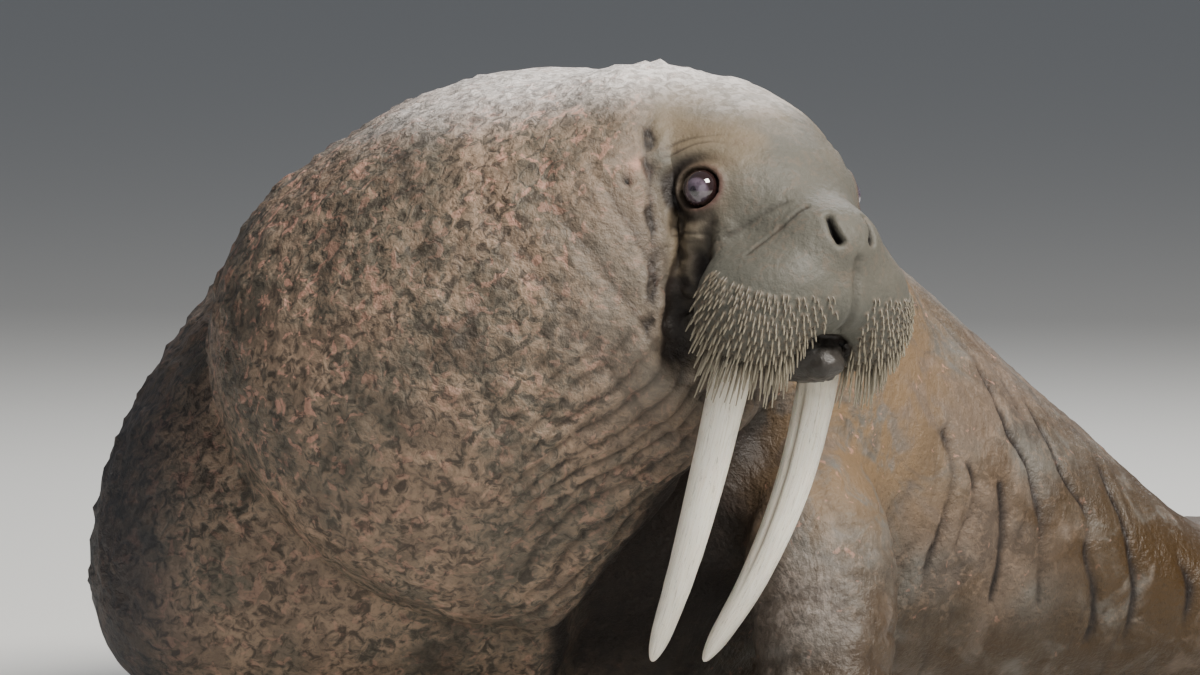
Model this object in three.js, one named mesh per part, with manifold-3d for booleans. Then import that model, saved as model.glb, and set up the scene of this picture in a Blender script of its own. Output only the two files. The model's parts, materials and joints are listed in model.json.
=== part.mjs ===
// An adult female walrus hauled out on a flat floor, life size, in millimetres, +Z up.
// The chest is raised, the thick neck is bent round to the animal's left, and the head
// looks back over the left shoulder with its chin tucked in. The origin is on the floor
// under the belly, where the trunk rests. The rump points along +X and away along +Y, the
// head leans out over -Y, and left and right are the animal's own.
import * as THREE from "three";
import { mergeVertices } from "three/addons/utils/BufferGeometryUtils.js";
import Module from "manifold-3d";

const wasm = await Module();
wasm.setup();

// Driving dimensions: a station has its place, and half its width, height above and below.
const GAP = 0.4;
const FLOOR = 0;

const TORSO = [
  { at: [-513, -295, 116], half: [245, 284, 250] },
  { at: [-275, -150, 264], half: [322, 320, 330] },
  { at: [-10, 35, 355], half: [375, 408, 412] },
  { at: [220, 180, 278], half: [365, 298, 328] },
  { at: [460, 300, 190], half: [330, 192, 232] },
  { at: [705, 407, 122], half: [298, 84, 158] },
  { at: [930, 502, 112], half: [264, 92, 144] },
  { at: [1125, 585, 94], half: [198, 92, 122] },
  { at: [1290, 652, 62], half: [94, 62, 72] },
];
const NECK = [
  { at: [-256, -160, 292], half: [258, 262, 276] },
  { at: [-178, -240, 382], half: [295, 300, 300] },
  { at: [-70, -320, 475], half: [286, 286, 280] },
  { at: [50, -390, 560], half: [238, 238, 240] },
  { at: [140, -440, 622], half: [176, 180, 190] },
  { at: [200, -475, 640], half: [120, 118, 130] },
];
const TAIL = [
  { at: [1240, 630, 66], half: [54, 38, 46] },
  { at: [1320, 665, 54], half: [36, 26, 32] },
  { at: [1388, 695, 40], half: [19, 13, 15] },
];

// The head's frame is turned, nodded and leaned. Its forms are eggs in that frame: centre and
// half sizes forward, left and up, one on each side where the centre is off the middle.
const HEAD_AT = [205, -500, 643];
const HEAD_TURN = THREE.MathUtils.degToRad(-55);
const HEAD_NOD = THREE.MathUtils.degToRad(20);
const HEAD_LEAN = THREE.MathUtils.degToRad(4);
const HEAD_FORMS = [
  { at: [-70, 0, -6], half: [160, 124, 108] },
  { at: [28, 0, -6], half: [90, 97, 74] },
  { at: [112, 0, -13], half: [66, 64, 58] },
  { at: [148, 0, 2], half: [42, 52, 38] },
  { at: [20, 60, -78], half: [92, 50, 74] },
  { at: [-50, 0, -105], half: [125, 92, 78] },
  { at: [128, 65, -82], half: [68, 64, 66] },
  { at: [146, 44, -46], half: [54, 52, 48] },
  { at: [150, 0, -50], half: [57, 50, 38] },
];
const HEAD_MIDDLE = [50, 0, -50];
const HEAD_BLEND = 26;
const HEAD_DETAIL = 8;

const EYE_RADIUS = 21;
const EYE_SINK = 9;
const EYE_LEVEL = [20, 0, 9];
const EYE_WAY = [0.1, 1, 0.04];
const LID_THICKNESS = 14;
const LID_RISE = 3;
const NOSTRIL = { at: [184, 22, 24], half: [10, 4.5, 15], turn: [0.45, 0.5, 0] };
const EAR = { at: [-27, 160, 1], half: [8, 24, 7] };
const CHIN = [
  { at: [-10, 0, -150], half: [58, 40, 36] },
  { at: [95, 0, -144], half: [36, 30, 28] },
  { at: [212, 0, -114], half: [34, 27, 26] },
];
const TUSK = [
  { at: [98, 57, -110], half: [23, 26, 26] },
  { at: [112, 61, -190], half: [21, 24, 24] },
  { at: [118, 60, -300], half: [19, 21, 21] },
  { at: [108, 51, -412], half: [15, 17, 17] },
  { at: [82, 36, -526], half: [9, 10, 10] },
];
const PAD_BACK = 80;
const PAD_TOP = -38;
const PAD_REACH = [260, 200, -250];

const WHISKERS_FROM = [138, 61, -77];
const WHISKER_ROWS = 7;
const WHISKER_COLUMNS = 9;
const WHISKER_RADIUS = 1.7;
const WHISKER_ROOT = 9;
const WHISKER_LENGTH = { least: 11, lower: 21, outer: 9 };
const WHISKER_TURN = { first: -12, span: 128 };
const WHISKER_DROP = { first: 14, span: 74 };

const ARMS = {
  left: {
    along: [0.16, -0.99, 0],
    stations: [
      { at: [195, -130, 300], half: [112, 104, 104] },
      { at: [265, -250, 235], half: [100, 100, 96] },
      { at: [282, -312, 130], half: [88, 80, 78] },
      { at: [280, -338, 40], half: [90, 62, 66] },
    ],
  },
  right: {
    along: [0.06, 0.99, 0],
    stations: [
      { at: [-110, 280, 300], half: [112, 104, 104] },
      { at: [-170, 420, 225], half: [100, 100, 96] },
      { at: [-188, 490, 128], half: [88, 80, 78] },
      { at: [-188, 516, 40], half: [90, 62, 66] },
    ],
  },
};
const HAND = {
  web: [
    { reach: -80, wide: 92, tall: 84 },
    { reach: 20, wide: 98, tall: 56 },
    { reach: 160, wide: 112, tall: 26 },
    { reach: 285, wide: 84, tall: 13 },
  ],
  digits: [285, 318, 322, 306, 262],
  rootSpread: 52,
  tipSpread: 92,
  ridge: 17.5,
};
const ANKLE_AT = [1242, 628, 54];
const ANKLE_BACK = [0.915, 0.403, 0];
const ANKLE_APART = 62;
const ANKLE_SPLAY = 0.28;
const ANKLE = [
  { reach: -150, wide: 62, tall: 58 },
  { reach: 0, wide: 58, tall: 46 },
  { reach: 110, wide: 70, tall: 30 },
  { reach: 220, wide: 98, tall: 19 },
];
const FOOT = {
  web: [
    { reach: 110, wide: 70, tall: 30 },
    { reach: 220, wide: 98, tall: 19 },
    { reach: 320, wide: 100, tall: 12 },
  ],
  digits: [290, 238, 222, 232, 282],
  rootSpread: 40,
  tipSpread: 88,
  ridge: 13.75,
};

const SKIN = "#7a6a58";
const MUZZLE_SKIN = "#6f6a5c";
const FLIPPER_SKIN = "#5d4e42";
const IVORY = "#e8dfc8";
const EYE_BROWN = "#241a16";

const vector = (numbers) => new THREE.Vector3(...numbers);
const onSide = ([forward, left, up], side) => [forward, left * side, up];

// A small repeatable random number, from -0.5 to 0.5.
let seed = 7;
function jitter() {
  const modulus = 2147483647;
  seed = (seed * 16807) % modulus;
  return seed / modulus - 0.5;
}

// A closed geometry as a solid, turned so that its faces point out.
function solid(geometry) {
  const bare = geometry.clone();
  bare.deleteAttribute("normal");
  bare.deleteAttribute("uv");
  const merged = mergeVertices(bare, 1e-3);
  const vertProperties = merged.attributes.position.array;
  const corners = [];
  for (let i = 0; i < merged.index.count; i += 3) {
    const [first, second, third] = merged.index.array.slice(i, i + 3);
    if (first !== second && second !== third && first !== third) {
      corners.push([first, second, third]);
    }
  }
  const make = (faces) => {
    const triVerts = new Uint32Array(faces.flat());
    return new wasm.Manifold(new wasm.Mesh({ numProp: 3, vertProperties, triVerts }));
  };
  const made = make(corners);
  return made.volume() > 0 ? made : make(corners.map((face) => face.reverse()));
}

// Several solids joined into one.
function join(...solids) {
  return solids.reduce((all, one) => all.add(one));
}

// One solid with others cut out of it.
function cut(made, ...tools) {
  return tools.reduce((rest, tool) => rest.subtract(tool), made);
}

// The largest closed body of a solid.
function largest(made) {
  return made.decompose().sort((one, other) => other.volume() - one.volume())[0];
}

// How full a limb is at t: it closes in a round end over a share of its length at each end.
function fullness(t, caps) {
  const start = Math.min(1, t / caps[0]);
  const end = Math.min(1, (1 - t) / caps[1]);
  return Math.sqrt(1 - (1 - start) ** 2) * Math.sqrt(1 - (1 - end) ** 2);
}

// A fleshy tube along stations, with round ends. grow swells it evenly, grounded keeps it
// above the floor, and square below 1 makes its section fuller than an ellipse.
function limb(stations, shape) {
  const settings = { caps: [0.2, 0.2], lift: [0, 0, 1], grow: 0, grounded: true, square: 1 };
  const { around, along, caps, lift, grow, grounded, square } = { ...settings, ...shape };
  const curve = (key) =>
    new THREE.CatmullRomCurve3(stations.map((station) => vector(station[key])), false, "centripetal");
  const path = curve("at");
  const sizes = curve("half");
  const geometry = new THREE.SphereGeometry(1, around, along);
  const position = geometry.attributes.position;
  const power = (x) => Math.sign(x) * Math.abs(x) ** square;
  for (let i = 0; i < position.count; i++) {
    const ring = Math.floor(i / (around + 1)) / along;
    const angle = ((i % (around + 1)) % around) * ((2 * Math.PI) / around);
    const t = 0.45 * ring + 0.55 * (0.5 - 0.5 * Math.cos(Math.PI * ring));
    const full = fullness(t, caps);
    const tangent = path.getTangent(t);
    const side = new THREE.Vector3().crossVectors(tangent, vector(lift)).normalize();
    const top = new THREE.Vector3().crossVectors(side, tangent);
    const half = sizes.getPoint(t).multiplyScalar(full).addScalar(grow * Math.sqrt(full));
    const across = power(Math.cos(angle)) * half.x;
    const high = power(Math.sin(angle));
    const point = path.getPoint(t);
    point.addScaledVector(tangent, grow * (1 - full) * (t < 0.5 ? -1 : 1));
    point.addScaledVector(side, across);
    point.addScaledVector(top, high * (high > 0 ? half.y : half.z));
    if (grounded) {
      point.z = Math.max(point.z, FLOOR);
    }
    position.setXYZ(i, point.x, point.y, point.z);
  }
  return solid(geometry);
}

// An egg of given half sizes, turned by angles in radians about its own axes.
function egg(half, at, turn = [0, 0, 0], around = 12, along = 8) {
  const geometry = new THREE.SphereGeometry(1, around, along);
  geometry.scale(...half);
  geometry.applyMatrix4(new THREE.Matrix4().makeRotationFromEuler(new THREE.Euler(...turn)));
  geometry.translate(...at);
  return solid(geometry);
}

// A block between two corners.
function block(low, high) {
  const size = high.map((top, i) => top - low[i]);
  const geometry = new THREE.BoxGeometry(...size);
  geometry.translate(...low.map((bottom, i) => bottom + size[i] / 2));
  return solid(geometry);
}

// The head's own frame, as a matrix that carries head sizes into the walrus's frame.
function headMatrix() {
  const forward = new THREE.Vector3(
    Math.cos(HEAD_TURN) * Math.cos(HEAD_NOD),
    Math.sin(HEAD_TURN) * Math.cos(HEAD_NOD),
    -Math.sin(HEAD_NOD),
  );
  const left = new THREE.Vector3(-Math.sin(HEAD_TURN), Math.cos(HEAD_TURN), 0);
  const up = new THREE.Vector3().crossVectors(forward, left);
  left.applyAxisAngle(forward, -HEAD_LEAN);
  up.applyAxisAngle(forward, -HEAD_LEAN);
  return new THREE.Matrix4().makeBasis(forward, left, up).setPosition(...HEAD_AT);
}

// A solid made in the head's frame, carried into the walrus's frame.
function onHead(made) {
  return made.transform(headMatrix().elements);
}

// How far a point is outside one egg-shaped form, nearly.
function outsideForm(point, at, half) {
  const reach = (power) =>
    Math.hypot(...point.toArray().map((value, i) => (value - at[i]) / half[i] ** power));
  const steep = reach(2);
  return steep > 0 ? (reach(1) * (reach(1) - 1)) / steep : -half[0];
}

// How far a point of the head's frame is outside the head forms, melted together.
function outsideHead(point) {
  let outside = Infinity;
  for (const { at, half } of HEAD_FORMS) {
    for (const side of at[1] === 0 ? [1] : [1, -1]) {
      const one = outsideForm(point, onSide(at, side), half);
      const shared = Math.max(HEAD_BLEND - Math.abs(outside - one), 0) / HEAD_BLEND;
      outside = Math.min(outside, one) - (shared * shared * HEAD_BLEND) / 4;
    }
  }
  return outside;
}

// The outermost point of the head forms, grown by grow, from a point inside along a direction.
function onSkin(from, direction, grow = 0) {
  const at = (reach) => from.clone().addScaledVector(direction, reach);
  const step = 6;
  let near = 330;
  while (near > 0 && outsideHead(at(near)) > grow) {
    near -= step;
  }
  let far = near + step;
  for (let i = 0; i < 24; i++) {
    const middle = (near + far) / 2;
    if (outsideHead(at(middle)) > grow) {
      far = middle;
    } else {
      near = middle;
    }
  }
  return at(near);
}

// The head forms as one closed mesh: a ball pushed out to their surface.
function skull(grow) {
  const geometry = new THREE.IcosahedronGeometry(1, HEAD_DETAIL);
  const position = geometry.attributes.position;
  for (let i = 0; i < position.count; i++) {
    const direction = new THREE.Vector3().fromBufferAttribute(position, i).normalize();
    const point = onSkin(vector(HEAD_MIDDLE), direction, grow);
    position.setXYZ(i, point.x, point.y, point.z);
  }
  return solid(geometry);
}

// Eyes bulge from the sides of the head, with a thick lid ring round each.
function eyeCentre(side) {
  const skin = onSkin(vector(EYE_LEVEL), vector(onSide(EYE_WAY, side)).normalize());
  return skin.add(new THREE.Vector3(0, -side * EYE_SINK, 0));
}

function eyeball(side, grow) {
  const radius = EYE_RADIUS + grow;
  return egg([radius, radius, radius], eyeCentre(side).toArray(), [0, 0, 0], 16, 10);
}

function lidRing(side, grow = 0) {
  const geometry = new THREE.TorusGeometry(EYE_RADIUS + 3, LID_THICKNESS / 2 + grow, 6, 16);
  geometry.rotateX(Math.PI / 2);
  geometry.scale(1.05, 0.9, 0.92);
  geometry.rotateZ(side * -0.25);
  geometry.rotateX(side * 0.12);
  geometry.translate(...eyeCentre(side).add(new THREE.Vector3(0, side * LID_RISE, 0)).toArray());
  return solid(geometry);
}

// Nostril slits, and the small pits that are all of the outer ears.
function nostril(side) {
  const [lean, tip] = NOSTRIL.turn;
  return egg(NOSTRIL.half, onSide(NOSTRIL.at, side), [side * lean, tip, 0], 10, 6);
}

function earPit(side) {
  return egg(EAR.half, onSide(EAR.at, side), [0, 0, 0], 10, 8);
}

// A tusk: an ivory spike that leaves the pad's underside and curves back and inward.
function tusk(side, grow) {
  const stations = TUSK.map(({ at, half }) => ({ at: onSide(at, side), half }));
  return limb(stations, { around: 12, along: 14, caps: [0.08, 0.1], lift: [1, 0, 0], grow, grounded: false });
}

// The lower lip and chin: a rounded wedge under the pads that shows between them in front.
function chin(grow) {
  return limb(CHIN, { around: 14, along: 10, caps: [0.3, 0.35], grow, grounded: false });
}

// One whisker, a stiff quill rooted in the pad and bent down, thinner to its tip.
function whisker(root, normal, side, length) {
  const reach = normal.clone().multiplyScalar(0.75).add(vector([0.05, side * 0.12, -0.62])).normalize();
  const bend = reach.clone().add(vector([-0.05, 0, -0.42])).normalize();
  const start = root.clone().addScaledVector(normal, -WHISKER_ROOT);
  const middle = root.clone().addScaledVector(reach, length / 2);
  const tip = middle.clone().addScaledVector(bend, length / 2);
  const station = (at, share) => ({ at: at.toArray(), half: [1, 1, 1].map(() => WHISKER_RADIUS * share) });
  const stations = [station(start, 1), station(middle, 0.85), station(tip, 0.35)];
  const lift = [0.3, 0.9 * side, 0.2];
  return limb(stations, { around: 4, along: 3, caps: [0.05, 0.05], lift, grounded: false });
}

// Whiskers in rows over one pad: short in front and above, long at the lower and outer rim.
function whiskers(side) {
  const from = vector(onSide(WHISKERS_FROM, side));
  const made = [];
  for (let row = 0; row < WHISKER_ROWS; row++) {
    for (let column = 0; column < WHISKER_COLUMNS; column++) {
      const down = row / (WHISKER_ROWS - 1);
      const out = (column + (row % 2) * 0.5) / WHISKER_COLUMNS;
      const turn = THREE.MathUtils.degToRad(WHISKER_TURN.first + WHISKER_TURN.span * out + 4 * jitter());
      const drop = THREE.MathUtils.degToRad(WHISKER_DROP.first - WHISKER_DROP.span * down + 4 * jitter());
      const normal = vector([
        Math.cos(turn) * Math.cos(drop),
        side * Math.sin(turn) * Math.cos(drop),
        Math.sin(drop),
      ]);
      const { least, lower, outer } = WHISKER_LENGTH;
      const length = least + lower * down ** 1.2 * (0.72 + 0.28 * out) + outer * out * out;
      made.push(whisker(onSkin(from, normal), normal, side, length));
    }
  }
  return made;
}

// The stations of a flat web along a direction from a joint.
function webStations(web, from, along, share) {
  return web.map(({ reach, wide, tall }) => {
    const at = from.clone().addScaledVector(along, reach);
    return { at: [at.x, at.y, tall * share], half: [wide, tall, tall] };
  });
}

// One digit of a flipper: a low ridge from the wrist to the tip, with a small nail on it.
function digit(root, tip, spread, ridge, along) {
  const knuckle = root.clone().lerp(tip, 0.5).add(spread);
  knuckle.z = FLOOR + ridge * 0.64;
  tip.z = FLOOR + ridge * 0.36;
  const stations = [
    { at: root.toArray(), half: [20, ridge * 0.72, 16] },
    { at: knuckle.toArray(), half: [19, ridge * 0.8, ridge * 0.8] },
    { at: tip.toArray(), half: [14, ridge * 0.44, ridge * 0.4] },
  ];
  const nail = tip.clone().addScaledVector(along, -22);
  nail.z = FLOOR + ridge * 0.84;
  const turn = [0, 0, Math.atan2(along.y, along.x)];
  return join(
    limb(stations, { around: 6, along: 5, caps: [0.2, 0.14] }),
    egg([9, 4, 3.5], nail.toArray(), turn, 5, 4),
  );
}

// A flipper from a wrist along its stations: a paddle with five ridged digits.
function paddle(stations, { digits, rootSpread, tipSpread, ridge }) {
  const first = vector(stations[0].at);
  const last = vector(stations[stations.length - 1].at);
  const along = last.clone().sub(first).setZ(0).normalize();
  const across = new THREE.Vector3(-along.y, along.x, 0);
  const fingers = digits.map((reach, i) => {
    const share = (i / (digits.length - 1)) * 2 - 1;
    const root = first.clone().addScaledVector(across, share * rootSpread).addScaledVector(along, 20);
    const tip = first.clone().addScaledVector(across, share * tipSpread).addScaledVector(along, reach);
    return digit(root, tip, across.clone().multiplyScalar(share * rootSpread * 0.25), ridge, along);
  });
  return join(limb(stations, { around: 12, along: 9, caps: [0.25, 0.14], square: 0.9 }), ...fingers);
}

// Front flippers: an upper arm out of the shoulder, and the hand flat on the floor.
function foreflipper({ stations, along }) {
  const wrist = vector(stations[stations.length - 1].at);
  const hand = webStations(HAND.web, wrist, vector(along), 0.75);
  const upper = limb(stations, { around: 16, along: 12, caps: [0.15, 0.1], lift: [0.85, 0.5, 0.2] });
  return join(upper, paddle(hand, HAND));
}

// Hind flippers: fans of five digits, the outer ones longest, trailing behind the tail.
function hindflipper(side) {
  const back = vector(ANKLE_BACK);
  const out = new THREE.Vector3(back.y, -back.x, 0).multiplyScalar(side);
  const along = back.clone().addScaledVector(out, ANKLE_SPLAY).normalize();
  const hip = vector(ANKLE_AT).addScaledVector(out, ANKLE_APART);
  const ankle = limb(webStations(ANKLE, hip, along, 0.85), { around: 12, along: 8, caps: [0.2, 0.3] });
  const digits = side > 0 ? FOOT.digits : FOOT.digits.toReversed();
  return join(ankle, paddle(webStations(FOOT.web, hip, along, 0.85), { ...FOOT, digits }));
}

function tail(grow) {
  return limb(TAIL, { around: 10, along: 8, caps: [0.2, 0.3], grow });
}

const group = new THREE.Group();

// Adds the body of a solid to the group as a named mesh.
function add(name, made, color, roughness = 0.75) {
  const { numProp, vertProperties, triVerts, numVert } = largest(made).getMesh();
  const position = new Float32Array(numVert * 3);
  for (let i = 0; i < numVert; i++) {
    for (let k = 0; k < 3; k++) {
      position[i * 3 + k] = vertProperties[i * numProp + k];
    }
  }
  const geometry = new THREE.BufferGeometry();
  geometry.setAttribute("position", new THREE.BufferAttribute(position, 3));
  geometry.setIndex(new THREE.BufferAttribute(triVerts, 1));
  geometry.computeVertexNormals();
  const mesh = new THREE.Mesh(geometry, new THREE.MeshStandardMaterial({ color, roughness, metalness: 0 }));
  mesh.name = name;
  group.add(mesh);
}

// The room that pieces leave for their neighbours: the same shapes, a gap larger.
const torsoShape = { around: 34, along: 26, caps: [0.24, 0.09], square: 0.96 };
const torso = limb(TORSO, torsoShape);
const torsoRoom = join(limb(TORSO, { ...torsoShape, grow: GAP }), torso);
const neckShape = { around: 30, along: 18, caps: [0.3, 0.2] };
const neckRoom = limb(NECK, { ...neckShape, grow: GAP });
const tailRoom = tail(GAP);
const headRoom = join(skull(GAP), lidRing(1, GAP), lidRing(-1, GAP), chin(GAP), tusk(1, GAP), tusk(-1, GAP));
const ears = join(earPit(1), earPit(-1));

// The head, its two whisker pads cut from its front, the chin, the tusks and the eyes.
const holes = [1, -1].flatMap((side) => [eyeball(side, GAP), nostril(side), tusk(side, GAP)]);
const head = cut(join(skull(0), lidRing(1), lidRing(-1)), ...holes, ears, chin(GAP));
const [reach, width, depth] = PAD_REACH;
add("head", onHead(cut(head, block([PAD_BACK, -width, depth], [reach, width, PAD_TOP]))), SKIN);
add("chin", onHead(cut(chin(0), tusk(1, GAP), tusk(-1, GAP))), MUZZLE_SKIN);
for (const [name, side] of [["left", 1], ["right", -1]]) {
  const inner = side > 0 ? GAP / 2 : -width;
  const outer = side > 0 ? width : -GAP / 2;
  const front = block([PAD_BACK + GAP, inner, depth], [reach, outer, PAD_TOP - GAP]);
  const pad = join(head.intersect(front), ...whiskers(side));
  add("pad_" + name, onHead(cut(pad, tusk(side, GAP), chin(GAP))), MUZZLE_SKIN);
  add("tusk_" + name, onHead(tusk(side, 0)), IVORY, 0.35);
  add("eye_" + name, onHead(eyeball(side, 0)), EYE_BROWN, 0.08);
}

// The neck, the trunk and the limbs.
add("neck", cut(limb(NECK, neckShape), torsoRoom, onHead(headRoom), onHead(ears)), SKIN);
add("torso", torso, SKIN);
add("flipper_front_left", cut(foreflipper(ARMS.left), torsoRoom, neckRoom), FLIPPER_SKIN);
add("flipper_front_right", cut(foreflipper(ARMS.right), torsoRoom), FLIPPER_SKIN);
add("flipper_hind_left", cut(hindflipper(1), torsoRoom, tailRoom), FLIPPER_SKIN);
add("flipper_hind_right", cut(hindflipper(-1), torsoRoom, tailRoom), FLIPPER_SKIN);
add("tail", cut(tail(0), torsoRoom), FLIPPER_SKIN);

export default group;
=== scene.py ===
# An adult female walrus hauled out on a floor, life size: the fore body raised, the neck bent
# round to the animal's left, and the head looking back with its tusks down. Metres, +Z up.
import json
import math

import bpy
import bmesh
import numpy as np
from mathutils import Matrix, Vector
from mathutils.bvhtree import BVHTree

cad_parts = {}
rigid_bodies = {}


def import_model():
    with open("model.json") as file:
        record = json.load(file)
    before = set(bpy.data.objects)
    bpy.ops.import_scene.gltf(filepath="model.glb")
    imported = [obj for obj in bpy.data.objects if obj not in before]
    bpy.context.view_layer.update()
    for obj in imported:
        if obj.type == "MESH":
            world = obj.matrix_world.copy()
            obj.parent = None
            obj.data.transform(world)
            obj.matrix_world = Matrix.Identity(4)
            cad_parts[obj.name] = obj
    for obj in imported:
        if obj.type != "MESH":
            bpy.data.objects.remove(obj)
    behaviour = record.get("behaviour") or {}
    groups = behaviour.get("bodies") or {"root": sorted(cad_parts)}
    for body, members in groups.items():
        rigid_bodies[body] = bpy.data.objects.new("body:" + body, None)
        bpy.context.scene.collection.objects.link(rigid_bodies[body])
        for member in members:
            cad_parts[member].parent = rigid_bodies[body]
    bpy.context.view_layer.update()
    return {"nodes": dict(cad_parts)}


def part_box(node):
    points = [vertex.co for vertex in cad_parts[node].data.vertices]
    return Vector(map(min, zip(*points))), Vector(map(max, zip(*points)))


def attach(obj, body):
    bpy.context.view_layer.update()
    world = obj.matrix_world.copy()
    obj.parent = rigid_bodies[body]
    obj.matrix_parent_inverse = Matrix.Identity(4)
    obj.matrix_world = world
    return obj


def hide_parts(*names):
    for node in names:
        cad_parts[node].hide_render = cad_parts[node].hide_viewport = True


for start_up in list(bpy.data.objects):
    bpy.data.objects.remove(start_up)
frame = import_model()

# The hide is one thick, sparsely haired skin over the head, neck, trunk and flippers. Its forms
# are lofted from the same stations as the solids, melted together, and then folded and wrinkled.
# A station is the middle of a limb there, and half its width and its heights above and below.
TRUNK = [
    ((-0.513, -0.295, 0.116), (0.245, 0.284, 0.250)),
    ((-0.275, -0.150, 0.264), (0.322, 0.320, 0.330)),
    ((-0.010, 0.035, 0.355), (0.375, 0.408, 0.412)),
    ((0.220, 0.180, 0.278), (0.365, 0.298, 0.328)),
    ((0.460, 0.300, 0.190), (0.330, 0.192, 0.232)),
    ((0.705, 0.407, 0.122), (0.298, 0.084, 0.158)),
    ((0.930, 0.502, 0.112), (0.264, 0.092, 0.144)),
    ((1.125, 0.585, 0.094), (0.198, 0.092, 0.122)),
    ((1.290, 0.652, 0.062), (0.094, 0.062, 0.072)),
]
NECK = [
    ((-0.256, -0.160, 0.292), (0.258, 0.262, 0.276)),
    ((-0.178, -0.240, 0.382), (0.295, 0.300, 0.300)),
    ((-0.070, -0.320, 0.475), (0.286, 0.286, 0.280)),
    ((0.050, -0.390, 0.560), (0.238, 0.238, 0.240)),
    ((0.140, -0.440, 0.622), (0.176, 0.180, 0.190)),
    ((0.200, -0.475, 0.640), (0.120, 0.118, 0.130)),
]
TRUNK_RADIUS, NECK_RADIUS = 0.30, 0.25
LIMBS = ["flipper_front_left", "flipper_front_right", "flipper_hind_left", "flipper_hind_right"]

# The chin's stations and the head's ovals lie in the head's own frame: forward, left and up.
# An oval is its middle and its half sizes, and one off the middle line has a twin.
CHIN = [
    ((-0.010, 0, -0.150), (0.058, 0.040, 0.036)),
    ((0.095, 0, -0.144), (0.036, 0.030, 0.028)),
    ((0.212, 0, -0.114), (0.034, 0.027, 0.026)),
]
HEAD_AT = Vector((0.205, -0.500, 0.643))
HEAD_TURN, HEAD_NOD, HEAD_LEAN = math.radians(-55), math.radians(20), math.radians(4)
HEAD_FORMS = [
    ((-0.070, 0, -0.006), (0.160, 0.124, 0.108)),
    ((0.028, 0, -0.006), (0.090, 0.097, 0.074)),
    ((0.112, 0, -0.013), (0.066, 0.064, 0.058)),
    ((0.148, 0, 0.002), (0.042, 0.052, 0.038)),
    ((0.020, 0.060, -0.078), (0.092, 0.050, 0.074)),
    ((-0.050, 0, -0.105), (0.125, 0.092, 0.078)),
    ((0.128, 0.065, -0.082), (0.068, 0.064, 0.066)),
    ((0.146, 0.044, -0.046), (0.054, 0.052, 0.048)),
    ((0.150, 0, -0.050), (0.057, 0.050, 0.038)),
]
HEAD_MELT = 0.026
HEAD_MIDDLE = np.array((0.050, 0, -0.050))
HEAD_REACH = 0.33
FAR_OFF = 9.0
GRAIN = 0.006

forward = Vector((
    math.cos(HEAD_TURN) * math.cos(HEAD_NOD),
    math.sin(HEAD_TURN) * math.cos(HEAD_NOD),
    -math.sin(HEAD_NOD),
))
left = Vector((-math.sin(HEAD_TURN), math.cos(HEAD_TURN), 0))
lean = Matrix.Rotation(-HEAD_LEAN, 3, forward)
up = lean @ forward.cross(left)
left = lean @ left
head_axes = np.array((forward, left, up))


def in_head(p):
    """Points of the frame, seen from the head: forward, left and up of its middle."""
    return (p - np.array(HEAD_AT)) @ head_axes.T


def from_head(p):
    return np.asarray(p) @ head_axes + np.array(HEAD_AT)


def mirrored(head):
    """Points of the head's frame, with those of its right side moved to its left."""
    return head * (1, 0, 1) + abs(head) * (0, 1, 0)


def through(points, t):
    """A smooth curve through the points, at t from 0 to 1."""
    p = np.array(points, float)
    p = np.vstack((2 * p[0] - p[1], p, 2 * p[-1] - p[-2]))
    t = np.clip(np.asarray(t, float), 0, 1) * (len(p) - 3)
    i = np.minimum(t.astype(int), len(p) - 4)
    w = (t - i)[:, None]
    gap = np.sqrt(np.linalg.norm(np.diff(p, axis=0), axis=1))[:, None]
    before, here, after = gap[i], gap[i + 1], gap[i + 2]
    a, b, c, d = p[i], p[i + 1], p[i + 2], p[i + 3]
    go = ((b - a) / before - (c - a) / (before + here) + (c - b) / here) * here
    come = ((c - b) / here - (d - b) / (here + after) + (d - c) / after) * here
    turn = 2 * b - 2 * c + go + come
    return b + w * go + w**2 * (3 * c - 3 * b - 2 * go - come) + w**3 * turn


def sides(points, t, lift=(0, 0, 1)):
    """Along, sideways and upwards at t of a limb's middle line."""
    step = 1e-3
    along = through(points, t + step) - through(points, t - step)
    along /= np.linalg.norm(along, axis=1)[:, None]
    side = np.cross(along, lift)
    side /= np.linalg.norm(side, axis=1)[:, None]
    return along, side, np.cross(side, along)


def move(points, to):
    for point, place in zip(points, to):
        point.co = place


def limb(bm, stations, around, rings, caps, floor=None, edge=1, lift=(0, 0, 1)):
    """A fleshy tube along stations, closed and rounded at both ends."""
    made = bmesh.ops.create_uvsphere(bm, u_segments=around, v_segments=rings, radius=1)["verts"]
    ball = np.array([v.co for v in made])
    share = np.arccos(np.clip(ball[:, 2], -1, 1)) / math.pi
    turn = np.arctan2(ball[:, 1], ball[:, 0])
    middles, halves = zip(*stations)
    crowded = 0.5 - 0.5 * np.cos(math.pi * share)
    t = 0.45 * share + 0.55 * crowded
    begin = np.sqrt(1 - (1 - np.minimum(1, t / caps[0])) ** 2)
    end = np.sqrt(1 - (1 - np.minimum(1, (1 - t) / caps[1])) ** 2)
    _, side, top = sides(middles, t, lift)
    size = through(halves, t) * (begin * end)[:, None]
    c, s = np.cos(turn), np.sin(turn)
    c, s = np.sign(c) * abs(c) ** edge, np.sign(s) * abs(s) ** edge
    high = np.where(s > 0, size[:, 1], size[:, 2])
    place = through(middles, t) + side * (c * size[:, 0])[:, None] + top * (s * high)[:, None]
    if floor is not None:
        place[:, 2] = np.maximum(place[:, 2], floor)
    move(made, place)
    return made


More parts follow.
